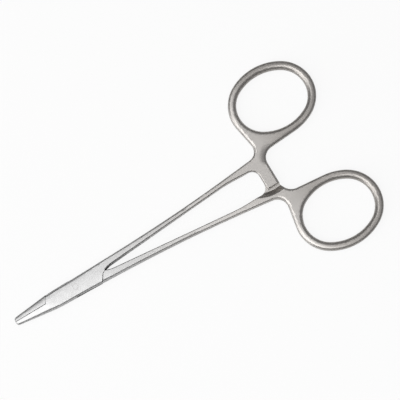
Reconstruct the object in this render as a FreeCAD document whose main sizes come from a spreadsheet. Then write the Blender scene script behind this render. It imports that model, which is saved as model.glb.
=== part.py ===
import FreeCAD, Part
import Sketcher
import math
import os
from FreeCAD import Rotation, Vector

# Box-lock needle holder, lying flat. X runs along the instrument, rings at +X and
# jaws at -X, Z is up, and the origin is on the pivot axis at the underside of the box.
# Every piece is drawn about the mid-plane of the instrument and raised into place.

os.makedirs("parts", exist_ok=True)
doc = FreeCAD.newDocument("needle_holder")

# Driving dimensions, mm and degrees
SIZES = [
    ("box_front", 11.5),         # pivot to the corner of the front seam
    ("box_rear", 11.4),          # pivot to the crotch between the shanks
    ("box_thickness", 4.6),
    ("jaw_root_half", 2.64),     # half-width where the jaw begins
    ("jaw_root_ahead", 11.0),    # pivot to that place
    ("jaw_blend", 60.0),         # radius of the bend that follows
    ("jaw_slope_ahead", 9.0),    # pivot to the start of the jaw's slope, in side view
    ("jaw_slope_round", 30.0),
    ("box_rear_half", 3.31),     # half-width of the box at the crotch
    ("seam_reach", 4.4),         # both seams are drawn out past the edge of the box
    ("seam_front_out", 9.25),    # pivot to the front seam at that reach
    ("seam_rear_out", 7.75),     # pivot to the rear seam at that reach
    ("seam_bend_back", 10.1),    # corner of the rear seam
    ("seam_bend_in", 0.85),
    ("seam_play", 0.1),
    ("rear_seam_play", 0.3),
    ("jaw_length", 11.8),
    ("jaw_gap", 0.1),
    ("jaw_tip_half", 1.32),
    ("jaw_tip_round", 1.0),
    ("jaw_tip_thickness", 1.9),
    ("jaw_groove_width", 0.5),
    ("jaw_groove_depth", 0.25),
    ("jaw_groove_length", 9.0),
    ("shank_root", 14.0),        # pivot to the place where the shank begins to curve
    ("shank_root_out", 3.35),    # its outer edge there, from the centre line
    ("shank_root_in", 0.85),     # its inner edge at the end of the crotch curve
    ("crotch_run", 3.1),
    ("shank_bow", 666.0),        # radius of the outer edge
    ("shank_end_back", 22.65),   # ring centre back to the end of the curved edge
    ("shank_end_out", 7.3),
    ("knee_back", 31.0),         # ring centre back to the bend of the inner edge
    ("knee_in", 4.68),
    ("knee_round", 40.0),
    ("shank_thickness", 3.2),
    ("shank_fall", 8.0),         # pivot to the place where the box starts to thin
    ("shank_settle", 46.5),      # pivot to the place where that thickness is reached
    ("shank_slope_round", 150.0),
    ("ring_reach", 90.65),       # pivot to the ring centres, along X
    ("ring_spread", 22.3),       # centre line to each ring centre
    ("hole_length", 25.8),
    ("hole_width", 20.5),
    ("hole_end_radius", 9.3),
    ("ring_band", 2.85),
    ("neck_back", 13.4),         # ring centre back to the corner of the neck
    ("neck_round", 4.0),
    ("neck_drop", 1.1),          # ring's lowest edge down to the arm's rear corner
    ("arm_back", 14.95),         # ring centre back to the middle of the arm
    ("arm_width", 4.5),
    ("arm_reach", 3.9),          # how far the arm passes the centre line
    ("arm_shoulder", 4.5),       # inner edge of the shank where it meets the arm
    ("arm_front_round", 3.4),
    ("arm_rear_round", 4.6),
    ("arm_play", 0.1),           # between the two arms, crest to crest
    ("relief_radius", 14.9),     # circular relief that lets the other arm pass
    ("relief_reach", 6.8),       # centre line to the edge of the relief
    ("relief_lean", 50.0),       # slope of its wall, from upright
    ("tooth_pitch", 1.6),
    ("tooth_depth", 0.5),
    ("tooth_count", 3.0),
    ("tooth_inset", 0.4),        # end of the arm to the first tooth
    ("tongue_thickness", 1.8),
    ("tongue_play", 0.05),       # above and below the tongue
    ("hub_radius", 2.3),
    ("hub_play", 0.1),
    ("opening", 45.0),           # degrees between closed and the stop
    ("opening_spare", 1.0),
    ("pin_radius", 0.98),
    ("pin_fit", 0.01),           # the riveted pin in the cheeks
    ("pin_play", 0.04),          # the tongue turning on it
    ("hole_round", 1.28),        # rims of the finger hole
    ("outer_round", 0.8),        # rims of the ring, the neck and the shank's outer side
    ("inner_round", 0.45),        # rims between the shanks
    ("jaw_round", 0.6),
    ("stock", 0.6),              # forging allowance that the side profile takes off
]
sheet = doc.addObject("Spreadsheet::Sheet", "Sizes")
for row, (alias, number) in enumerate(SIZES, 1):
    sheet.set("A%d" % row, alias)
    sheet.set("B%d" % row, str(number))
    sheet.setAlias("B%d" % row, alias)
doc.recompute()


class Cell:
    """A number together with the formula, in cells of the sheet, that gives it."""

    def __init__(self, number, formula):
        self.number = number
        self.formula = formula

    def joined(self, sign, other, number):
        return Cell(number, "(%s %s %s)" % (self.formula, sign, formula_of(other)))

    def __add__(self, other):
        return self.joined("+", other, self.number + number_of(other))

    def __sub__(self, other):
        return self.joined("-", other, self.number - number_of(other))

    def __mul__(self, other):
        return self.joined("*", other, self.number * number_of(other))

    def __truediv__(self, other):
        return self.joined("/", other, self.number / number_of(other))

    def __neg__(self):
        return Cell(-self.number, "(0 - %s)" % self.formula)


def number_of(item):
    return item.number if isinstance(item, Cell) else float(item)


def formula_of(item):
    return item.formula if isinstance(item, Cell) else repr(float(item))


def cell(alias):
    return Cell(float(getattr(sheet, alias)), "Sizes." + alias)


def cosine(angle):
    return Cell(math.cos(math.radians(angle.number)), "cos(%s * 1 deg)" % angle.formula)


def sine(angle):
    return Cell(math.sin(math.radians(angle.number)), "sin(%s * 1 deg)" % angle.formula)


def plane(body, role):
    return [f for f in body.Origin.OriginFeatures if f.Role == role][0]


class Outline:
    """A closed sketch, drawn end to end, whose points and radii follow the sheet."""

    def __init__(self, body, name, role):
        self.sketch = body.newObject("Sketcher::SketchObject", name)
        self.sketch.AttachmentSupport = [(plane(body, role), "")]
        self.sketch.MapMode = "FlatFace"
        self.first = None
        self.last = None

    def bind(self, kind, geometry, value):
        index = self.sketch.addConstraint(Sketcher.Constraint(kind, *geometry, number_of(value)))
        if isinstance(value, Cell):
            name = "d%d" % index
            self.sketch.renameConstraint(index, name)
            self.sketch.setExpression("Constraints." + name, value.formula + " * 1 mm")

    def locate(self, curve, end, x=None, y=None):
        """Place a curve's point: end is 1 for its start, 2 for its end, 3 for its centre."""
        if x is not None:
            self.bind("DistanceX", (-1, 1, curve, end), x)
        if y is not None:
            self.bind("DistanceY", (-1, 1, curve, end), y)

    def radius(self, curve, value):
        self.bind("Radius", (curve,), value)

    def chain(self, curve, head, tail, smooth):
        """Join a curve's head point to the last one's tail, tangent where it is smooth."""
        if self.last is None:
            self.first = (curve, head)
        else:
            kind = "Tangent" if smooth else "Coincident"
            self.sketch.addConstraint(Sketcher.Constraint(kind, *self.last, curve, head))
        self.last = (curve, tail)
        return curve

    def line(self, start, end, smooth=False):
        points = [Vector(number_of(p[0]), number_of(p[1]), 0) for p in (start, end)]
        curve = self.sketch.addGeometry(Part.LineSegment(*points), False)
        return self.chain(curve, 1, 2, smooth)

    def arc(self, start, middle, end, smooth=False):
        points = [Vector(number_of(p[0]), number_of(p[1]), 0) for p in (start, middle, end)]
        turn = (points[1] - points[0]).cross(points[2] - points[1]).z
        curve = self.sketch.addGeometry(Part.Arc(*points), False)
        head, tail = (1, 2) if turn > 0 else (2, 1)
        return self.chain(curve, head, tail, smooth)

    def close(self, smooth=False):
        kind = "Tangent" if smooth else "Coincident"
        self.sketch.addConstraint(Sketcher.Constraint(kind, *self.last, *self.first))
        self.first = None
        self.last = None

    def polygon(self, points):
        """A closed loop of straight lines through points whose places follow the sheet."""
        for start, end in zip(points, points[1:] + points[:1]):
            curve = self.line(start, end)
            self.locate(curve, 1, *start)
        self.close()
        return self.sketch


def pad(body, name, sketch, length):
    feature = body.newObject("PartDesign::Pad", name)
    feature.Profile = sketch
    feature.SideType = "Symmetric"
    feature.setExpression("Length", length.formula + " * 1 mm")
    return feature


def pocket(body, name, sketch, depth=None, symmetric=True, flip=False, lean=None):
    """Cut a profile right through, or to a depth, and make sure that it took material."""
    before = body.Shape.Volume
    feature = body.newObject("PartDesign::Pocket", name)
    feature.Profile = sketch
    feature.SideType = "Symmetric" if symmetric else "One side"
    feature.Reversed = flip
    if depth is None:
        feature.Type = "ThroughAll"
    else:
        feature.setExpression("Length", depth.formula + " * 1 mm")
    if lean is not None:
        feature.setExpression("TaperAngle", lean.formula + " * 1 deg")
    doc.recompute()
    if not body.Shape.Volume < before - 1e-3:
        raise RuntimeError(name + " cut nothing")
    return feature


def corner_fillet(body, name, radius, place):
    """Round the upright edge at a corner of the plan."""
    base = body.Tip
    upright = [number for number, edge in enumerate(base.Shape.Edges, 1)
               if all((vertex.Point - flat(place)).cross(Vector(0, 0, 1)).Length < 1e-3
                      for vertex in edge.Vertexes)]
    if len(upright) != 1:
        raise RuntimeError(name + " found no corner")
    feature = body.newObject("PartDesign::Fillet", name)
    feature.Base = (base, ["Edge%d" % upright[0]])
    feature.setExpression("Radius", radius.formula + " * 1 mm")
    doc.recompute()
    return feature


def tangent_point(point, centre, radius, side):
    """Where a line from the point touches the circle; side +1 is to its left, -1 its right."""
    away = centre - point
    reach = math.sqrt(away.Length ** 2 - radius ** 2)
    turn = side * math.asin(radius / away.Length)
    heading = math.atan2(away.y, away.x) - turn
    return point + Vector(math.cos(heading), math.sin(heading), 0) * reach


def on_circle(centre, radius, angle):
    return centre + Vector(math.cos(angle), math.sin(angle), 0) * radius


def flat(place):
    return Vector(number_of(place[0]), number_of(place[1]), 0)


def bend_between(before, start, target, radius, turn):
    """An arc that leaves a line at its end and meets a line to the target; turn is +1 left."""
    ahead = (flat(start) - flat(before)).normalize()
    centre = flat(start) + Vector(-ahead.y, ahead.x, 0) * number_of(radius) * turn
    last = tangent_point(flat(target), centre, number_of(radius), -turn)
    crown = ((flat(start) - centre) + (last - centre)).normalize() * number_of(radius)
    return start, centre + crown, last


# Places that several features share
tip = -(cell("box_front") + cell("jaw_length"))
face = -cell("jaw_gap") / 2
arm_middle = cell("ring_reach") - cell("arm_back")
arm_front = arm_middle - cell("arm_width") / 2
arm_rear = arm_middle + cell("arm_width") / 2
knee = cell("ring_reach") - cell("knee_back")
shank_end = cell("ring_reach") - cell("shank_end_back")
neck = cell("ring_reach") - cell("neck_back")
ring_low = cell("ring_spread") - cell("hole_width") / 2 - cell("ring_band")
arm_root = ring_low - cell("neck_drop")
crotch_end = cell("box_rear") + cell("crotch_run")

# The ring's hole is an oval of four arcs, and the ring's outside runs parallel to it
end_offset = cell("hole_length") / 2 - cell("hole_end_radius")
long_half = cell("hole_length") / 2
wide_half = cell("hole_width") / 2
side_radius = ((long_half * long_half + wide_half * wide_half
                - long_half * cell("hole_end_radius") * 2)
               / ((wide_half - cell("hole_end_radius")) * 2))
outer_end_radius = cell("hole_end_radius") + cell("ring_band")
outer_side_radius = side_radius + cell("ring_band")
side_offset = number_of(side_radius) - number_of(wide_half)
ring = Vector(number_of(cell("ring_reach")), number_of(cell("ring_spread")), 0)
end_right = ring + Vector(number_of(end_offset), 0, 0)
end_left = ring - Vector(number_of(end_offset), 0, 0)
side_top = ring - Vector(0, side_offset, 0)
side_low = ring + Vector(0, side_offset, 0)
join = math.atan2(side_offset, number_of(end_offset))


def oval_arcs(outline, end_radius, side_radius_, start, finish):
    """The four arcs from the low side round to the left end, counter-clockwise."""
    spans = [(side_low, side_radius_, start, -join),
             (end_right, end_radius, -join, join),
             (side_top, side_radius_, join, math.pi - join),
             (end_left, end_radius, math.pi - join, finish)]
    curves = []
    for centre, radius, first, last in spans:
        places = [on_circle(centre, radius, a) for a in (first, (first + last) / 2, last)]
        curves.append(outline.arc(*places, smooth=True))
    return curves


# One forged half, before the two are machined to fit each other: the plan outline
blank = doc.addObject("PartDesign::Body", "half_blank")
plan = Outline(blank, "plan", "XY_Plane")
low_tip = (tip, -cell("jaw_tip_half"))
low_root = (-cell("jaw_root_ahead"), -cell("jaw_root_half"))
low_rear = (cell("box_rear"), -cell("box_rear_half"))
crotch = (cell("box_rear"), -face)
crotch_out = (crotch_end, cell("shank_root_in"))
knee_point = (knee, cell("knee_in"))
arm_points = [(arm_front, cell("arm_shoulder")), (arm_front, -cell("arm_reach")),
              (arm_rear, -cell("arm_reach")), (arm_rear, arm_root)]
shank_start = (cell("shank_root"), cell("shank_root_out"))
shank_finish = (shank_end, cell("shank_end_out"))

start = Vector(*[number_of(c) for c in shank_start], 0)
finish = Vector(*[number_of(c) for c in shank_finish], 0)
chord = finish - start
bow = number_of(cell("shank_bow"))
half_turn = math.asin(chord.Length / 2 / bow)
course = math.atan2(chord.y, chord.x)
sag = bow * (1 - math.cos(half_turn))
middle = (start + finish) / 2 + Vector(math.sin(course), -math.cos(course), 0) * sag
run = number_of(neck) - finish.x
neck_corner = finish + Vector(run, run * math.tan(course + half_turn), 0)
ahead = start.x + number_of(cell("box_front"))
box_corner = start - Vector(ahead, ahead * math.tan(course - half_turn), 0)
left_touch = tangent_point(neck_corner, end_left, number_of(outer_end_radius), -1)
root = Vector(number_of(arm_rear), number_of(arm_root), 0)
low_touch = tangent_point(root, side_low, number_of(outer_side_radius), 1)

curve = plan.line(low_tip, low_root)
plan.locate(curve, 1, *low_tip)
jaw_bend = bend_between(low_tip, low_root, low_rear, cell("jaw_blend"), 1)
curve = plan.arc(*jaw_bend, smooth=True)
plan.locate(curve, 1, *low_root)
plan.radius(curve, cell("jaw_blend"))
plan.line(jaw_bend[2], low_rear, smooth=True)
curve = plan.line(low_rear, crotch)
plan.locate(curve, 1, *low_rear)
slope = math.atan2(number_of(knee_point[1]) - number_of(crotch_out[1]),
                   number_of(knee_point[0]) - number_of(crotch_out[0]))
span = Vector(*[number_of(c) for c in crotch_out], 0) - Vector(*[number_of(c) for c in crotch], 0)
swing = math.atan2(span.y, span.x) - slope
across = Vector(-span.y, span.x, 0) / 2
crotch_middle = [number_of(crotch[0]) + span.x / 2 + across.x * math.tan(swing / 2),
                 number_of(crotch[1]) + span.y / 2 + across.y * math.tan(swing / 2)]
curve = plan.arc(crotch, crotch_middle, crotch_out)
plan.locate(curve, 2, *crotch)
plan.locate(curve, 1, *crotch_out)
plan.line(crotch_out, knee_point, smooth=True)
knee_bend = bend_between(crotch_out, knee_point, arm_points[0], cell("knee_round"), -1)
curve = plan.arc(*knee_bend, smooth=True)
plan.locate(curve, 2, *knee_point)
plan.radius(curve, cell("knee_round"))
plan.line(knee_bend[2], arm_points[0], smooth=True)
for first, last in zip(arm_points, arm_points[1:]):
    curve = plan.line(first, last)
    plan.locate(curve, 1, *first)
curve = plan.line(arm_points[-1], low_touch)
plan.locate(curve, 1, *arm_points[-1])
angles = [math.atan2((p - c).y, (p - c).x) for p, c in ((low_touch, side_low),
                                                        (left_touch, end_left))]
arcs = oval_arcs(plan, number_of(outer_end_radius), number_of(outer_side_radius),
                 angles[0], angles[1] % (2 * math.pi))
for curve, radius in zip(arcs, (outer_side_radius, outer_end_radius) * 2):
    plan.radius(curve, radius)
plan.locate(arcs[0], 3, x=cell("ring_reach"))
plan.locate(arcs[1], 3, cell("ring_reach") + end_offset, cell("ring_spread"))
plan.locate(arcs[3], 3, cell("ring_reach") - end_offset, cell("ring_spread"))
plan.line(left_touch, neck_corner, smooth=True)
curve = plan.line(neck_corner, shank_finish)
plan.locate(curve, 1, x=neck)
curve = plan.arc(shank_finish, middle, shank_start, smooth=True)
plan.locate(curve, 1, *shank_start)
plan.locate(curve, 2, *shank_finish)
plan.radius(curve, cell("shank_bow"))
plan.line(shank_start, box_corner, smooth=True)
corner = (-cell("box_front"), face)
curve = plan.line(box_corner, corner)
plan.locate(curve, 1, x=-cell("box_front"))
curve = plan.line(corner, (tip, face))
plan.locate(curve, 1, *corner)
curve = plan.line((tip, face), low_tip)
plan.locate(curve, 1, tip, face)
plan.close()

oval = oval_arcs(plan, number_of(cell("hole_end_radius")), number_of(side_radius),
                 join - math.pi, math.pi + join)
plan.close(smooth=True)
for curve, radius in zip(oval, (side_radius, cell("hole_end_radius")) * 2):
    plan.radius(curve, radius)
plan.locate(oval[1], 3, cell("ring_reach") + end_offset, cell("ring_spread"))
plan.locate(oval[3], 3, cell("ring_reach") - end_offset, cell("ring_spread"))
pad(blank, "forging", plan.sketch, cell("box_thickness") + cell("stock"))
doc.recompute()

for name, alias, place in (("tip_round", "jaw_tip_round", low_tip),
                           ("arm_front_corner", "arm_front_round", arm_points[0]),
                           ("arm_rear_corner", "arm_rear_round", arm_points[3]),
                           ("neck_corner", "neck_round", neck_corner)):
    corner_fillet(blank, name, cell(alias), place)

# Side view: flat over the box, tapering to the jaw's tip and to the shank
side = Outline(blank, "side_view", "XZ_Plane")
box_top = cell("box_thickness") / 2
shank_top = cell("shank_thickness") / 2
tip_top = cell("jaw_tip_thickness") / 2
beyond = cell("ring_reach") + cell("hole_length")
above = cell("box_thickness") / 2 + cell("stock") * 2
for up in (1, -1):
    tip_edge = (tip, tip_top * up)
    box_start = (-cell("jaw_slope_ahead"), box_top * up)
    box_end = (cell("shank_fall"), box_top * up)
    settled = (cell("shank_settle"), shank_top * up)
    jaw_bow = flat(box_start) - Vector(0, number_of(cell("jaw_slope_round")) * up, 0)
    bow = number_of(cell("shank_slope_round"))
    fall = flat(box_end) - Vector(0, bow * up, 0)
    rise = flat(settled) + Vector(0, bow * up, 0)
    between = (fall + rise) / 2
    leave_jaw = tangent_point(flat(tip_edge), jaw_bow, number_of(cell("jaw_slope_round")), -up)
    leave_box = tangent_point(between, fall, bow, up)
    reach_shank = tangent_point(between, rise, bow, up)

    def crown(centre, first, last):
        out = ((first - centre) + (last - centre)).normalize()
        return centre + out * (first - centre).Length

    side.line((tip - cell("stock"), tip_top * up), tip_edge)
    curve = side.line(tip_edge, leave_jaw)
    side.locate(curve, 1, *tip_edge)
    curve = side.arc(leave_jaw, crown(jaw_bow, leave_jaw, flat(box_start)), box_start, smooth=True)
    side.radius(curve, cell("jaw_slope_round"))
    curve = side.line(box_start, box_end, smooth=True)
    side.locate(curve, 1, *box_start)
    side.locate(curve, 2, *box_end)
    curve = side.arc(box_end, crown(fall, flat(box_end), leave_box), leave_box, smooth=True)
    side.radius(curve, cell("shank_slope_round"))
    side.line(leave_box, reach_shank, smooth=True)
    curve = side.arc(reach_shank, crown(rise, reach_shank, flat(settled)), settled, smooth=True)
    side.radius(curve, cell("shank_slope_round"))
    stock_edge = [settled, (beyond, shank_top * up), (beyond, above * up),
                  (tip - cell("stock"), above * up), (tip - cell("stock"), tip_top * up)]
    for first, last in zip(stock_edge, stock_edge[1:]):
        curve = side.line(first, last, smooth=first is settled)
        side.locate(curve, 1, *first)
    side.locate(curve, 2, *stock_edge[-1])
    side.close()
pocket(blank, "side_cut", side.sketch)

# Every rim is blunted by flats that hug a round edge: the middle flat comes first, at 45
# degrees, then one on each side of it. The rims between the shanks get the middle flat alone,
# and mating faces keep their edges.
MIDDLE_FLAT = 2 - math.sqrt(2)
SIDE_FLAT = math.tan(math.radians(22.5)) - math.tan(math.radians(11.25))


def rim_radius(point):
    """The round edge that the flats hug: finger hole, outer side, jaw and box, or inner side."""
    from_ring = point - ring
    if (math.hypot(from_ring.x / number_of(long_half), from_ring.y / number_of(wide_half)) < 1.05
            and abs(from_ring.y) < number_of(wide_half) + 1e-3):
        return number_of(cell("hole_round"))
    share = min(max((point.x - crotch_end.number) / (shank_end.number - crotch_end.number), 0), 1)
    shank_middle = (number_of(cell("shank_root_out")) * (1 - share)
                    + number_of(cell("shank_end_out")) * share) * 0.75
    if point.x > arm_rear.number - 1e-3 or point.y > shank_middle:
        return number_of(cell("outer_round"))
    return number_of(cell("jaw_round" if point.x < number_of(crotch[0]) else "inner_round"))


def middle_of(edge):
    return edge.valueAt((edge.FirstParameter + edge.LastParameter) / 2)


def tilt(face, point):
    """How far a face leans there: 1 for a level face, 0 for a wall."""
    return abs(face.normalAt(*face.Surface.parameter(point)).z)


def rims(shape):
    """Edges round the top and bottom of every side wall, less the mating faces."""
    mating = [(flat(low_rear) + flat(crotch)) / 2, (box_corner + flat(corner)) / 2,
              (flat(corner) + flat((tip, face))) / 2]
    chosen = []
    for number, edge in enumerate(shape.Edges, 1):
        middle = middle_of(edge)
        ends = [vertex.Point for vertex in edge.Vertexes]
        upright = all(abs(end.x - middle.x) + abs(end.y - middle.y) < 1e-6 for end in ends)
        walls = [f for f in shape.ancestorsOfType(edge, Part.Face) if tilt(f, middle) < 1e-3]
        if upright or len(walls) != 1:
            continue
        if any(walls[0].distToShape(Part.Vertex(place))[0] < 1e-3 for place in mating):
            continue
        leg = rim_radius(middle) * MIDDLE_FLAT
        chosen.append((number, leg, leg))
    return chosen


def nearest_radius(point, guides):
    """The radius of the blank's rim that runs closest to the point."""
    spot = Part.Vertex(point)
    return min(guides, key=lambda guide: guide[0].distToShape(spot)[0])[1]


def flat_borders(shape, guides):
    """The long edges on both sides of every middle flat, less those between the shanks."""
    chosen = []
    for number, edge in enumerate(shape.Edges, 1):
        middle = middle_of(edge)
        tilts = [tilt(f, middle) for f in shape.ancestorsOfType(edge, Part.Face)]
        along = edge.tangentAt((edge.FirstParameter + edge.LastParameter) / 2)
        radius = nearest_radius(middle, guides)
        if radius == number_of(cell("inner_round")) or abs(along.z) > 0.3:
            continue
        if sum(0.5 < t < 0.9 for t in tilts) == 1:
            chosen.append((number, radius * SIDE_FLAT, radius * SIDE_FLAT))
    return chosen


blank_edges = blank.Shape.Edges
blank_rims = rims(blank.Shape)
guides = [(edge, rim_radius(middle_of(edge)))
          for edge in (blank_edges[number - 1] for number, leg, same in blank_rims)]
middle_flats = doc.addObject("Part::Chamfer", "middle_flats")
middle_flats.Base = blank
middle_flats.Edges = blank_rims
doc.recompute()
rounded = doc.addObject("Part::Chamfer", "rounded_half")
rounded.Base = middle_flats
rounded.Edges = flat_borders(middle_flats.Shape, guides)
doc.recompute()


def finished(name, base):
    """A body that machines one of the rounded halves, raised so that the box rests on Z = 0."""
    body = doc.addObject("PartDesign::Body", name)
    body.Label = name
    body.BaseFeature = base
    doc.recompute()
    return body


def cutter(body, name, role="XY_Plane", offset=None):
    """A sketch for a cut, on an origin plane of the body or at an offset from it."""
    outline = Outline(body, name, role)
    if offset is not None:
        outline.sketch.setExpression("AttachmentOffset.Base.z", offset.formula + " * 1 mm")
    return outline


def circle(outline, centre, radius):
    place = flat(centre)
    curve = outline.sketch.addGeometry(Part.Circle(place, Vector(0, 0, 1), number_of(radius)))
    outline.radius(curve, radius)
    if place.Length > 0:
        outline.locate(curve, 3, *centre)
    else:
        outline.sketch.addConstraint(Sketcher.Constraint("Coincident", curve, 3, -1, 1))
    return outline.sketch


def machine_ratchet(body):
    """Relieve the lower face for the other arm, and cut the teeth in the arm's lower face."""
    level = cell("arm_play") / 2
    relief = cutter(body, "ratchet_relief_plan", offset=level)
    lean = cell("relief_lean")
    run = (shank_top + level) * sine(lean) / cosine(lean)
    centre = (arm_middle, cell("relief_reach") - cell("relief_radius"))
    pocket(body, "ratchet_relief", circle(relief, centre, cell("relief_radius") - run),
           depth=shank_top + level + cell("stock"), symmetric=False, lean=lean)
    first = cell("tooth_inset") - cell("arm_reach")
    teeth = cutter(body, "tooth_profile", "YZ_Plane", arm_middle)
    teeth.polygon([(first, level), (first + cell("tooth_pitch"), level),
                   (first, level + cell("tooth_depth"))])
    notch = pocket(body, "tooth", teeth.sketch, cell("arm_width") + cell("stock"))
    row = body.newObject("PartDesign::LinearPattern", "tooth_row")
    row.Originals = [notch]
    row.Direction = (plane(body, "Y_Axis"), [""])
    row.Mode = "Spacing"
    row.setExpression("Offset", cell("tooth_pitch").formula + " * 1 mm")
    row.setExpression("Occurrences", cell("tooth_count").formula)
    body.Tip = row
    doc.recompute()


def machine_jaw(body):
    """The groove along the middle of the gripping face."""
    outline = cutter(body, "jaw_groove_plan", "XZ_Plane")
    near = tip + cell("jaw_tip_round")
    far = near + cell("jaw_groove_length")
    half = cell("jaw_groove_width") / 2
    outline.polygon([(near, -half), (far, -half), (far, half), (near, half)])
    pocket(body, "jaw_groove", outline.sketch, cell("jaw_groove_depth") + cell("jaw_gap") / 2,
           symmetric=False, flip=True)


# Places of the box lock: the seams, and the tongue's edges on both sides of the pivot
front_corner = (-cell("box_front"), face)
front_out = (-cell("seam_front_out"), cell("seam_reach"))
rear_corner = (cell("box_rear"), -face)
rear_bend = (cell("seam_bend_back"), -cell("seam_bend_in"))
rear_out = (cell("seam_rear_out"), -cell("seam_reach"))
wide = cell("seam_reach")
play = cell("seam_play")
rear_play = cell("rear_seam_play")
lean = cell("opening") / 2
slot_radius = cell("hub_radius") + cell("hub_play")
slot_lean = lean + cell("opening_spare")
outside = cell("seam_reach") * 2

# The slotted half: two cheeks and the webs that join them, its ring at +Y
box_half = finished("box_half", rounded)
seams = cutter(box_half, "seams")
seams.polygon([front_corner, front_out, (-cell("box_front") - play, wide),
               (-cell("box_front") - play, face)])
seams.polygon([rear_corner, rear_bend, rear_out, (crotch_end, -wide), (crotch_end, -face)])
pocket(box_half, "seam_cut", seams.sketch)
slot = cutter(box_half, "slot_plan")
web_corner = (-slot_radius * sine(slot_lean), -slot_radius * cosine(slot_lean))
web_out = (-outside * sine(slot_lean), -outside * cosine(slot_lean))
web_corner_rear = (-web_corner[0], -web_corner[1])
web_out_rear = (-web_out[0], -web_out[1])
slot.polygon([front_corner, web_corner, web_out, (crotch_end, -outside), (crotch_end, -face),
              rear_corner, web_corner_rear, web_out_rear,
              (-cell("box_front") - cell("seam_reach"), outside),
              (-cell("box_front") - cell("seam_reach"), face)])
pocket(box_half, "slot", slot.sketch, cell("tongue_thickness") + cell("tongue_play") * 2)
bore = cutter(box_half, "rivet_hole_plan")
pocket(box_half, "rivet_hole", circle(bore, (0, 0), cell("pin_radius") + cell("pin_fit")))
machine_ratchet(box_half)
machine_jaw(box_half)

# The tongue half is the same forging turned over about X, so here too its ring is at +Y;
# its tongue passes through the slot
tongue_half = finished("tongue_half", rounded)
for up in (1, -1):
    cheek = cutter(tongue_half, "cheek_plan", offset=cell("tongue_thickness") / 2 * up)
    cheek.polygon([(front_corner[0] - play, wide), (front_corner[0] - play, -front_corner[1]),
                   (front_out[0] - play, -wide), (rear_corner[0] + rear_play, -wide),
                   (rear_corner[0] + rear_play, -rear_corner[1]),
                   (rear_bend[0] + rear_play, -rear_bend[1]), (rear_out[0] + rear_play, wide)])
    pocket(tongue_half, "cheek_seat", cheek.sketch, symmetric=False, flip=up > 0)
web = cutter(tongue_half, "web_plan")
for turn, begin in ((1, front_corner), (-1, rear_corner)):
    hub = number_of(cell("hub_radius"))
    touch = tangent_point(flat(begin), Vector(0, 0, 0), hub, -1)
    edge_point = (cell("hub_radius") * sine(lean) * turn, cell("hub_radius") * cosine(lean) * turn)
    edge_out = (outside * sine(lean) * turn, outside * cosine(lean) * turn)
    far_out = (begin[0] - cell("stock") * turn, outside * turn)
    far_in = (begin[0] - cell("stock") * turn, cell("jaw_gap") / 2 * turn)
    crown = (touch + flat(edge_point)).normalize() * hub
    curve = web.line(begin, touch)
    web.locate(curve, 1, *begin)
    curve = web.arc(touch, crown, edge_point, smooth=True)
    web.radius(curve, cell("hub_radius"))
    web.sketch.addConstraint(Sketcher.Constraint("Coincident", curve, 3, -1, 1))
    web.locate(curve, 1, x=edge_point[0])
    for first, last in ((edge_point, edge_out), (edge_out, far_out), (far_out, far_in),
                        (far_in, begin)):
        curve = web.line(first, last)
        if first is not edge_point:
            web.locate(curve, 1, *first)
    web.close()
pocket(tongue_half, "web_clearance", web.sketch)
turning = cutter(tongue_half, "turning_hole_plan")
pocket(tongue_half, "turning_hole",
       circle(turning, (0, 0), cell("pin_radius") + cell("pin_play")))
machine_ratchet(tongue_half)
machine_jaw(tongue_half)

# The rivet that both halves turn on, ground flush with the cheeks
pin = doc.addObject("PartDesign::Body", "pivot_pin")
pin.Label = "pivot_pin"
pad(pin, "rivet", circle(Outline(pin, "rivet_plan", "XY_Plane"), (0, 0), cell("pin_radius")),
    cell("box_thickness"))
doc.recompute()

for body, turned in ((box_half, 0), (tongue_half, 180), (pin, 0)):
    body.Placement = FreeCAD.Placement(Vector(0, 0, 0), Rotation(Vector(1, 0, 0), turned))
    body.setExpression("Placement.Base.z", (cell("box_thickness") / 2).formula + " * 1 mm")
doc.recompute()

failed = [o.Name for o in doc.Objects if "Invalid" in o.State or "Error" in o.State]
for body in (box_half, tongue_half, pin):
    if failed or body.Shape.isNull() or not body.Shape.isValid() or len(body.Shape.Solids) != 1:
        raise RuntimeError("%s is not one valid solid; failed: %s" % (body.Label, failed))
    body.Shape.exportStep(os.path.join("parts", body.Label + ".step"))
    print(body.Label, round(body.Shape.Volume, 2), body.Shape.BoundBox)
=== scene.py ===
import math

import bmesh
import bpy
import numpy as np
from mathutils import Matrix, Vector


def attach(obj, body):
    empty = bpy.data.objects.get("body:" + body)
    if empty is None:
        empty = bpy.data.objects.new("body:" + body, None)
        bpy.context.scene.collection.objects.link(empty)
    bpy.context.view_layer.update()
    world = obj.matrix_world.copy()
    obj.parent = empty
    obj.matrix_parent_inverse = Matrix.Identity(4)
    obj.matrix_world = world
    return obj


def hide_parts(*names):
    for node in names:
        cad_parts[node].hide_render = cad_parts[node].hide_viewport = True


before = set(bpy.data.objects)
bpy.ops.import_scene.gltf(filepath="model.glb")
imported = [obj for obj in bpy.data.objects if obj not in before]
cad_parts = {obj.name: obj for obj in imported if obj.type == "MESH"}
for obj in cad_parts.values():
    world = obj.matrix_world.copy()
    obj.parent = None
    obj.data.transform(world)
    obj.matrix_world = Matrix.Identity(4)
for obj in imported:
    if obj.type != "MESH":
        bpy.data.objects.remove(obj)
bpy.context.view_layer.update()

# A needle holder of satin stainless steel, lying closed on a pale table, seen from almost straight
# above. Lengths are in metres, and tables say where they are in millimetres. The long axis is X,
# the jaws point to -X, the rivet stands at the origin, and the parting plane is y = 0.

MILLIMETRE = 0.001
MID_PLANE = 2.3 * MILLIMETRE         # height of the middle of the instrument's thickness
SHANK_HALF = 1.6 * MILLIMETRE        # half of the thickness of shanks and rings

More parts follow.
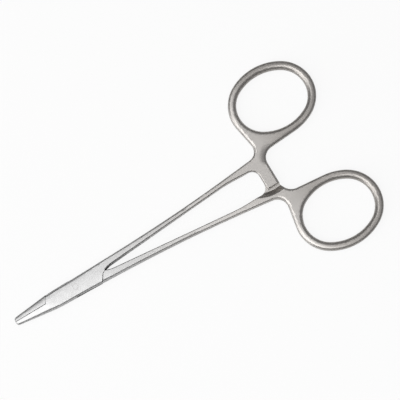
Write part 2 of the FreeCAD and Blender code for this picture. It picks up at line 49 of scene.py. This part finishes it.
# Jaws and box lock, as (x, value) in millimetres: half thickness, half width and depth of the dome.
HALF_THICKNESS = ((-23.3, 0.95), (-11.5, 2.2), (-9, 2.3), (8, 2.3), (14, 2.2), (43.5, 1.63))
HALF_WIDTH = ((-23.3, 1.45), (-9, 2.85), (8, 3.24))
CROWN = ((-23.3, 0.22), (-12, 0.34), (-7, 0.17), (4, 0.17), (8, 0.15), (13, 0))
CROWN_ACROSS = (0.5, 1.0, 1.4, 1.8, 2.2, 2.6)
CROWN_ALONG = (-20, -16, -12, -9, -7, 4, 8, 13)

# Gripping faces of the jaws.
GRIP_END = -9.8 * MILLIMETRE
GRIP_GAP = 0.12 * MILLIMETRE         # the faces lie closer than this to the parting plane
HATCH_PITCH = 0.6 * MILLIMETRE
HATCH_DEPTH = 0.10 * MILLIMETRE

# Finger rings: the hole is an oval of two end arcs and two side arcs.
RING_REACH = 90.65 * MILLIMETRE      # along x to a ring's centre
RING_SPREAD = 22.3 * MILLIMETRE      # across y to it
RING_BAND = 2.85 * MILLIMETRE
RING_DOME = 0.22 * MILLIMETRE
HOLE_HALF_WIDTH = 10.25 * MILLIMETRE
END_RADIUS = 9.3 * MILLIMETRE
END_CENTRE = 3.6 * MILLIMETRE
SIDE_CENTRE = 6.346 * MILLIMETRE
RING_START = 70 * MILLIMETRE
NECK_BEARING = -110                  # degrees, from the ring's centre to the neck
NECK_HALF_ANGLE = 55
NECK_FADE_ANGLE = 20

# Flank of the slotted half, from the bend behind its arm out along the ring.
BEND_CENTRE = (82.55 * MILLIMETRE, 3.86 * MILLIMETRE)
BEND_RADIUS = 4.6 * MILLIMETRE
FLANK_SLOPE = 0.0816                 # of the straight edge that follows the bend
FLANK_WIDTH = 2.3 * MILLIMETRE
FLANK_ROLL = 0.5 * MILLIMETRE
FLANK_IN = (74 * MILLIMETRE, 4 * MILLIMETRE)     # along x: where it fades in, and over what length
FLANK_OUT = (95 * MILLIMETRE, 6 * MILLIMETRE)    # and out again
BEND_FADE = 1.5 * MILLIMETRE                     # across y, from the bend's centre

# Skins.
MERGE_DISTANCE = 1e-6
FLAT_ANGLE = 0.3                     # degrees: faces that bend less are joined
SHARP_ANGLE = 30                     # degrees: edges that bend more stay sharp

# Steel: linear grey levels and warmths of its darker patches, and what the lighter ones add.
JAW_LEVEL = 0.46
SHANK_LEVEL, SHANK_WARMTH = 0.48, 0.04
# the rings' lower grey is painted shade; their warmth is the steel's own tone
RING_SHADED_LEVEL, RING_WARMTH = 0.39, 0.05
PATCH_LIFT = 0.03
# near black of the lock's seam walls and inner beds: painted shade
SEAM_SHADE_LEVEL = 0.05
SEAM_REACH = 13.5 * MILLIMETRE       # the lock's seams lie this near the rivet
BED_HALF = 1.0 * MILLIMETRE          # the lock's inner beds lie this near the middle plane
GRAIN = 0.14 * MILLIMETRE
PIN_RIM = (0.80 * MILLIMETRE, 0.93 * MILLIMETRE)

# Table, lamps and camera.
FLOOR_REACH, FLOOR_RISE = 4.0, 1.2
FLOOR_LIFT = 0.88                    # share of even white that the eye sees in the floor
LAMPS = (                            # name, place, aim, width, height, brightness
    ("key_box", (-0.485, -0.10, 1.0), (-0.485, -0.10, 0), 1.24, 1.05, 1.85),
    ("side_box", (-1.2, 0.0, 0.45), (0, 0, 0.0), 1.0, 0.7, 2.0),
)
ROOM_LOW, ROOM_HIGH, ROOM_TOP = 0.10, 0.40, 0.8
CAMERA_TURN, CAMERA_RISE = -30.388, 79.386
CAMERA_AIM = (0.0515237, 0.0047674, 0.0023)
CAMERA_DISTANCE, CAMERA_LENS = 0.5764, 151.7


# ---------------------------------------------------------------- shader graph

class Finish:
    """A material's node graph, built a node at a time around one Principled shader."""

    def __init__(self, name, **sockets):
        self.material = bpy.data.materials.new(name)
        self.material.use_nodes = True
        self.tree = self.material.node_tree
        self.tree.nodes.clear()
        self.surface = self.node("ShaderNodeBsdfPrincipled", **sockets)
        self.output = self.node("ShaderNodeOutputMaterial")
        self.wire(self.surface.outputs["BSDF"], self.output.inputs["Surface"])
        coordinates = self.node("ShaderNodeTexCoord")
        self.place = coordinates.outputs["Object"]
        self.facing = coordinates.outputs["Normal"]

    def node(self, kind, settings=None, **inputs):
        """A node with its settings, and its inputs given as numbers or as other nodes' outputs."""
        made = self.tree.nodes.new(kind)
        for key, value in (settings or {}).items():
            setattr(made, key, value)
        for key, value in inputs.items():
            self.give(made.inputs[key.replace("_", " ")], value)
        return made

    def wire(self, output, socket):
        self.tree.links.new(output, socket)

    def give(self, socket, value):
        """Wires an output to a socket, or sets the socket to a number or a colour."""
        if isinstance(value, bpy.types.NodeSocket):
            self.wire(value, socket)
        else:
            socket.default_value = value

    def feed(self, **sockets):
        """Wires outputs to sockets of the Principled shader."""
        for name, output in sockets.items():
            self.wire(output, self.surface.inputs[name.replace("_", " ")])

    def math(self, operation, *terms):
        """One arithmetic step on numbers or outputs."""
        made = self.node("ShaderNodeMath", {"operation": operation})
        for socket, value in zip(made.inputs, terms):
            self.give(socket, value)
        return made.outputs[0]

    def size_of(self, value):
        return self.math("ABSOLUTE", value)

    def split(self, vector):
        """The X, Y and Z parts of a vector."""
        return self.node("ShaderNodeSeparateXYZ", Vector=vector).outputs

    def noise(self, feature, detail=2.0, stretch=(1, 1, 1), start=(0, 0, 0)):
        """Cloudy noise in lumps about feature metres across, drawn out along an axis by stretch."""
        mapped = self.node(
            "ShaderNodeMapping", Vector=self.place, Location=start,
            Scale=[1 / s for s in stretch],
        )
        made = self.node(
            "ShaderNodeTexNoise", Vector=mapped.outputs[0], Scale=1 / feature, Detail=detail,
        )
        return made.outputs[0]

    def ramp(self, value, start, end, low=0.0, high=1.0):
        """value carried from the span start..end to the span low..high, with soft ends."""
        made = self.node(
            "ShaderNodeMapRange", {"interpolation_type": "SMOOTHSTEP"}, Value=value,
            From_Min=start, From_Max=end, To_Min=low, To_Max=high,
        )
        return made.outputs[0]

    def blend(self, amount, first, second):
        """A colour between first and second: a Mix node has its colours in sockets 6 and 7."""
        made = self.node("ShaderNodeMix", {"data_type": "RGBA"})
        for index, value in ((0, amount), (6, first), (7, second)):
            self.give(made.inputs[index], value)
        return made.outputs[2]

    def from_rivet(self):
        """Distance from the rivet's axis: the length of (x, y, 0)."""
        level = self.node("ShaderNodeVectorMath", {"operation": "MULTIPLY"})
        self.give(level.inputs[0], self.place)
        self.give(level.inputs[1], (1, 1, 0))
        length = self.node("ShaderNodeVectorMath", {"operation": "LENGTH"})
        self.give(length.inputs[0], level.outputs[0])
        return length.outputs["Value"]

    def blasted(self):
        """The grain of blasted steel, also laid over the surface as a faint bump."""
        grain = self.noise(GRAIN, detail=3)
        bump = self.node(
            "ShaderNodeBump", Strength=0.05, Distance=0.006 * MILLIMETRE, Height=grain,
        )
        self.feed(Normal=bump.outputs[0])
        return grain


def grey(level, warmth=0.0):
    """A linear grey, a little redder and less blue as warmth grows."""
    return (level * (1 + warmth), level, level * (1 - warmth), 1)


def satin_steel():
    """Blasted stainless steel: fine grain under a dull sheen and faint clouding.

    It is cool at the jaws, warmer along the shanks, and darker at the rings, where the darkness is
    painted shade.
    The walls of the lock's seams and the beds inside the lock are near black and less metallic:
    painted shade in the lock's gaps."""
    finish = Finish("satin_steel", Metallic=1.0)
    finish.blasted()
    clouds = finish.noise(6 * MILLIMETRE, detail=3, stretch=(2.2, 1, 1))
    speckle = finish.noise(0.45 * MILLIMETRE, start=(0.3, 0.1, 0))
    shade = finish.math(
        "ADD", finish.math("MULTIPLY", clouds, 0.75), finish.math("MULTIPLY", speckle, 0.25),
    )
    place = finish.split(finish.place)
    to_shanks = finish.ramp(place["X"], 5 * MILLIMETRE, 75 * MILLIMETRE)
    # towards the rings the grey falls: painted shade
    to_rings = finish.ramp(place["X"], 77 * MILLIMETRE, 87 * MILLIMETRE)

    def patch(lift):
        """The colour along the instrument, lightened by lift, with painted shade at the rings."""
        shanks = finish.blend(
            to_shanks, grey(JAW_LEVEL + lift), grey(SHANK_LEVEL + lift, SHANK_WARMTH),
        )
        return finish.blend(to_rings, shanks, grey(RING_SHADED_LEVEL + lift, RING_WARMTH))

    colour = finish.blend(finish.ramp(shade, 0.36, 0.64), patch(0), patch(PATCH_LIFT))
    # walls facing along x and level beds near the middle plane, within the lock: painted shade,
    # near black and less metallic
    facing = finish.split(finish.facing)
    wall = finish.math("GREATER_THAN", finish.size_of(facing["X"]), 0.35)
    level = finish.math("GREATER_THAN", finish.size_of(facing["Z"]), 0.7)
    from_middle = finish.size_of(finish.math("SUBTRACT", place["Z"], MID_PLANE))
    bed = finish.math("MULTIPLY", level, finish.math("LESS_THAN", from_middle, BED_HALF))
    seam_shade = finish.math(
        "MULTIPLY", finish.math("MAXIMUM", wall, bed),
        finish.math("LESS_THAN", finish.size_of(place["X"]), SEAM_REACH),
    )
    finish.feed(
        Base_Color=finish.blend(seam_shade, colour, grey(SEAM_SHADE_LEVEL)),
        Metallic=finish.math("SUBTRACT", 1, finish.math("MULTIPLY", seam_shade, 0.85)),
        Roughness=finish.ramp(finish.noise(1.2 * MILLIMETRE), 0.3, 0.7, 0.37, 0.40),
    )
    return finish.material


def pin_steel():
    """The rivet: the same steel ground flush across both cheeks, with the hairline of its rim."""
    finish = Finish("pin_steel", Metallic=1.0)
    grain = finish.blasted()
    rim = finish.ramp(finish.from_rivet(), *PIN_RIM)
    finish.feed(
        Base_Color=finish.blend(rim, grey(0.47), grey(0.34, 0.02)),
        Roughness=finish.ramp(grain, 0.3, 0.7, 0.34, 0.42),
    )
    return finish.material


def pale_sweep():
    """A pale matt floor with a soft shadow: part paint, part white that the eye alone sees."""
    finish = Finish("pale_sweep", Roughness=0.9)
    finish.feed(Base_Color=finish.blend(finish.noise(0.4, detail=1), grey(0.88), grey(0.90)))
    path = finish.node("ShaderNodeLightPath")
    white = finish.node("ShaderNodeEmission", Color=(1, 1, 1, 1), Strength=1.0)
    share = finish.math("MULTIPLY", path.outputs["Is Camera Ray"], FLOOR_LIFT)
    mixed = finish.node("ShaderNodeMixShader", Fac=share)
    finish.wire(finish.surface.outputs[0], mixed.inputs[1])
    finish.wire(white.outputs[0], mixed.inputs[2])
    finish.wire(mixed.outputs[0], finish.output.inputs["Surface"])
    return finish.material


# ---------------------------------------------------------------- cuts that let a face bend

def everything(shape):
    return shape.verts[:] + shape.edges[:] + shape.faces[:]


def with_borders(faces):
    """Faces with their edges and corners."""
    edges = list(dict.fromkeys(edge for face in faces for edge in face.edges))
    corners = list(dict.fromkeys(corner for face in faces for corner in face.verts))
    return corners + edges + faces


def grip_faces(shape):
    """The flat faces with which a jaw meets the other one."""
    chosen = []
    for face in shape.faces:
        middle = face.calc_center_median()
        if abs(face.normal.y) > 0.99 and abs(middle.y) < 0.15 * MILLIMETRE and middle.x < GRIP_END:
            chosen.append(face)
    return with_borders(chosen)


def broad_faces(shape, start):
    """The faces that look up or down and reach past start along the instrument."""
    return with_borders([
        face for face in shape.faces
        if abs(face.normal.z) > 0.3 and max(corner.co.x for corner in face.verts) > start
    ])


def steps(start, end, step):
    """Even places from start to before end, given in millimetres."""
    return np.arange(start, end, step) * MILLIMETRE


def scored(shape, region, axis, places):
    """Cuts the region's faces along planes across an axis, so that they can bend between them."""
    direction = np.eye(3)[axis]
    for place in places:
        cut = bmesh.ops.bisect_plane(
            shape, geom=region, dist=1e-7,
            plane_co=(direction * place).tolist(), plane_no=direction.tolist(),
        )
        region = cut["geom"]
    return region


def scored_half(shape):
    """Scores a half for its dome, its ring, its flank and its gripping face."""
    across = np.array(CROWN_ACROSS) * MILLIMETRE
    scored(shape, everything(shape), 1, np.concatenate([-across[::-1], across]))
    scored(shape, everything(shape), 0, np.array(CROWN_ALONG) * MILLIMETRE)
    scored(shape, broad_faces(shape, 75 * MILLIMETRE), 0, steps(75, 107, 0.5))
    rings = broad_faces(shape, 75.1 * MILLIMETRE)
    for side in (-1, 1):
        rings = scored(shape, rings, 1, side * steps(3.5, 35.5, 0.5))
    grips = scored(shape, grip_faces(shape), 0, steps(-23.1, -9.8, 0.3))
    scored(shape, grips, 2, MID_PLANE + steps(-2.1, 2.2, 0.3))


# ---------------------------------------------------------------- bending the points of a skin

def rising(value, start, span):
    """0 up to start, 1 from start + span on, and a straight rise between."""
    return np.clip((value - start) / span, 0, 1)


def along(table, x):
    """A table's value at x, in straight lines from row to row."""
    places, values = np.array(table).T * MILLIMETRE
    return np.interp(x, places, values)


def pressed(points, depth, half):
    """The points moved towards the middle plane by depth * share.

    share = 2 * |height over the middle plane| / half - 1, kept within 0 and 1, where half is half
    of the local thickness. So a surface sinks by the whole depth, and the mating faces inside the
    lock stay."""
    height = points[:, 2] - MID_PLANE
    share = np.clip(np.abs(height) / half * 2 - 1, 0, 1)
    result = points.copy()
    result[:, 2] -= np.sign(height) * depth * share
    return result


def hatched(points):
    """The points with the gripping faces cross-hatched.

    A point of such a face sinks into its jaw by depth * (wave(u + v) + wave(u - v)) / 2, where u
    and v are its places along x and z in pitches, and wave(t) is a straight-sided ripple: 0 at
    whole t, 1 halfway."""
    result = points.copy()
    x, y, z = points.T
    u, v = x / HATCH_PITCH, (z - MID_PLANE) / HATCH_PITCH
    waves = [1 - np.abs(1 - 2 * np.mod(t, 1)) for t in (u + v, u - v)]
    grip = (np.abs(y) < GRIP_GAP) & (x < GRIP_END)
    result[grip, 1] += (np.sign(y) * HATCH_DEPTH * (waves[0] + waves[1]) / 2)[grip]
    return result


def crowned(points):
    """The points with the broad faces of the jaws and the box lock gently domed across their width.

    A point is pressed by crown * (y / half width) ** 2, where both follow x."""
    x, y = points[:, 0], points[:, 1]
    reach = np.minimum(np.abs(y) / along(HALF_WIDTH, x), 1.2)
    return pressed(points, along(CROWN, x) * reach ** 2, along(HALF_THICKNESS, x))


def from_finger_hole(x, y):
    """Distance outwards from the rim of a finger hole, an oval of four arcs about its centre.

    Points that see the long side past the line through both arc centres belong to the side arc, all
    others to the end arc. The distance is measured from the centre of the arc, less its radius."""
    lengthwise, across = np.abs(x), np.abs(y)
    side = lengthwise * SIDE_CENTRE < END_CENTRE * (across + SIDE_CENTRE)
    from_side = np.hypot(lengthwise, across + SIDE_CENTRE) - SIDE_CENTRE - HOLE_HALF_WIDTH
    from_end = np.hypot(lengthwise - END_CENTRE, across) - END_RADIUS
    return np.where(side, from_side, from_end)


def domed_rings(points):
    """The points with the finger rings rounded across their band.

    A point is pressed by dome * t ** 2, where t runs from -1 at the hole to 1 at the outer rim. The
    outer half fades out, by the angle about the ring's centre, where the ring meets the neck."""
    x, y = points[:, 0] - RING_REACH, np.abs(points[:, 1]) - RING_SPREAD
    t = np.clip(from_finger_hole(x, y) / (0.5 * RING_BAND) - 1, -1.05, 1.05)
    from_neck = np.abs(np.mod(np.degrees(np.arctan2(y, x)) - NECK_BEARING + 180, 360) - 180)
    free = np.where(t < 0, 1, rising(from_neck, NECK_HALF_ANGLE, NECK_FADE_ANGLE))
    on_ring = points[:, 0] > RING_START
    return pressed(points, RING_DOME * t ** 2 * free * on_ring, SHANK_HALF)


def rolled_flank(points):
    """The points with the slotted half's flank rolled off, from its arm round to the ring.

    A point is pressed by roll * (1 - e / width) ** 2, where e is its distance from the edge: from
    the circle of the bend up to the bend's end, and from the straight edge past it. The roll fades
    in along x and from the bend's centre upwards, and fades out along the ring."""
    x, y = points[:, 0] - BEND_CENTRE[0], points[:, 1] - BEND_CENTRE[1]
    from_bend = np.hypot(x, y) - BEND_RADIUS
    from_edge = (y - BEND_RADIUS - FLANK_SLOPE * x) / math.hypot(1, FLANK_SLOPE)
    from_rim = np.where(x < -FLANK_SLOPE * y, from_bend, from_edge)
    near = 1 - np.clip(from_rim / FLANK_WIDTH, 0, 1)
    beside = (x < 0) & (y > -BEND_RADIUS) | (y > 0.5 * BEND_RADIUS)
    fade = rising(points[:, 0], *FLANK_IN) * (1 - rising(points[:, 0], *FLANK_OUT))
    depth = FLANK_ROLL * near ** 2 * fade * rising(y, 0, BEND_FADE) * beside
    return pressed(points, depth, SHANK_HALF)


def smooth_skin(node, material):
    """A copy of a half with its triangles joined and its faces bent.

    It is shaded smoothly over its roundings and sharply at its corners."""
    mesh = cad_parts[node].data.copy()
    mesh.name = node + "_skin"
    shape = bmesh.new()
    shape.from_mesh(mesh)
    bmesh.ops.remove_doubles(shape, verts=shape.verts, dist=MERGE_DISTANCE)
    bmesh.ops.dissolve_limit(
        shape, angle_limit=math.radians(FLAT_ANGLE), use_dissolve_boundaries=False,
        verts=shape.verts[:], edges=shape.edges[:],
    )
    scored_half(shape)
    bmesh.ops.recalc_face_normals(shape, faces=shape.faces)
    for face in shape.faces:
        face.smooth = True
    for edge in shape.edges:
        edge.smooth = edge.calc_face_angle(math.pi) < math.radians(SHARP_ANGLE)
    shape.to_mesh(mesh)
    shape.free()

    points = np.empty(len(mesh.vertices) * 3)
    mesh.vertices.foreach_get("co", points)
    bent = rolled_flank(domed_rings(crowned(hatched(points.reshape(-1, 3)))))
    mesh.vertices.foreach_set("co", bent.ravel())
    mesh.update()
    mesh.materials.clear()
    mesh.materials.append(material)

    piece = bpy.data.objects.new(node + "_skin", mesh)
    bpy.context.scene.collection.objects.link(piece)
    even = piece.modifiers.new("even_normals", "WEIGHTED_NORMAL")
    even.keep_sharp = True
    even.weight = 50
    return piece


# ---------------------------------------------------------------- table, lamps and camera

def sweep(reach, rise):
    """A round level floor that turns up at its rim into a low wall.

    Its profile runs level from the middle to reach, then round a quarter turn of radius rise. The
    grid carries that profile round the upright through the middle: x = r cos t, y = r sin t."""
    turn = np.linspace(0, math.pi / 2, 9)
    radius = np.concatenate([[0.0], [reach], reach + rise * np.sin(turn[1:])])
    height = np.concatenate([[0.0], [0.0], rise * (1 - np.cos(turn[1:]))])
    around_it = np.linspace(0, 2 * math.pi, 96, endpoint=False)
    grid = np.stack([
        radius[:, None] * np.cos(around_it), radius[:, None] * np.sin(around_it),
        np.broadcast_to(height[:, None], (radius.size, around_it.size)),
    ], -1)
    rows, columns = np.meshgrid(
        np.arange(radius.size - 1), np.arange(around_it.size), indexing="ij",
    )
    here = rows * around_it.size + columns
    beside = rows * around_it.size + (columns + 1) % around_it.size
    quads = np.stack([here, here + around_it.size, beside + around_it.size, beside], -1)
    mesh = bpy.data.meshes.new("sweep")
    mesh.from_pydata(grid.reshape(-1, 3).tolist(), [], quads.reshape(-1, 4).tolist())
    mesh.polygons.foreach_set("use_smooth", np.ones(len(mesh.polygons), bool))
    mesh.materials.append(pale_sweep())
    floor = bpy.data.objects.new("sweep", mesh)
    bpy.context.scene.collection.objects.link(floor)


def softbox(name, place, aim, width, height, brightness):
    """A flat lamp that faces aim. brightness is the light its face gives, where 1 shows white."""
    lamp = bpy.data.lights.new(name, "AREA")
    lamp.shape = "RECTANGLE"
    lamp.size = width
    lamp.size_y = height
    lamp.energy = brightness * 4 * width * height
    holder = bpy.data.objects.new(name, lamp)
    holder.location = place
    holder.rotation_euler = (Vector(aim) - Vector(place)).to_track_quat("-Z", "Y").to_euler()
    bpy.context.scene.collection.objects.link(holder)


def room_light(low, high, top):
    """A quiet room: dim at the level of the table, lighter up to where a direction rises by top."""
    world = bpy.data.worlds.new("room")
    world.use_nodes = True
    tree = world.node_tree
    tree.nodes.clear()
    direction = tree.nodes.new("ShaderNodeTexCoord")
    split = tree.nodes.new("ShaderNodeSeparateXYZ")
    height = tree.nodes.new("ShaderNodeMapRange")
    for key, number in (("From Min", 0), ("From Max", top), ("To Min", low), ("To Max", high)):
        height.inputs[key].default_value = number
    glow = tree.nodes.new("ShaderNodeBackground")
    output = tree.nodes.new("ShaderNodeOutputWorld")
    tree.links.new(direction.outputs["Generated"], split.inputs[0])
    tree.links.new(split.outputs["Z"], height.inputs["Value"])
    tree.links.new(height.outputs[0], glow.inputs["Strength"])
    tree.links.new(glow.outputs[0], output.inputs["Surface"])
    bpy.context.scene.world = world


def set_camera(turn, rise, aim, distance, lens):
    """A camera that looks at aim from distance, turned about the upright and raised, in degrees."""
    turn, rise = math.radians(turn), math.radians(rise)
    back = Vector((
        math.sin(turn) * math.cos(rise), -math.cos(turn) * math.cos(rise), math.sin(rise),
    ))
    view = bpy.data.cameras.new("camera")
    view.lens = lens
    view.sensor_width = 36
    view.clip_start = 0.02
    view.clip_end = 50
    camera = bpy.data.objects.new("camera", view)
    camera.location = Vector(aim) + back * distance
    camera.rotation_euler = (-back).to_track_quat("-Z", "Y").to_euler()
    bpy.context.scene.collection.objects.link(camera)
    bpy.context.scene.camera = camera


# ---------------------------------------------------------------- the needle holder on its table

steel = satin_steel()
for half in ("box_half", "tongue_half"):
    skin = smooth_skin(half, steel)
    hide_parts(half)
    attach(skin, half)

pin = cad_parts["pivot_pin"]
pin.data.materials.clear()
pin.data.materials.append(pin_steel())

sweep(FLOOR_REACH, FLOOR_RISE)
for lamp in LAMPS:
    softbox(*lamp)
room_light(ROOM_LOW, ROOM_HIGH, ROOM_TOP)
set_camera(CAMERA_TURN, CAMERA_RISE, CAMERA_AIM, CAMERA_DISTANCE, CAMERA_LENS)
bpy.context.scene.view_settings.view_transform = "Standard"
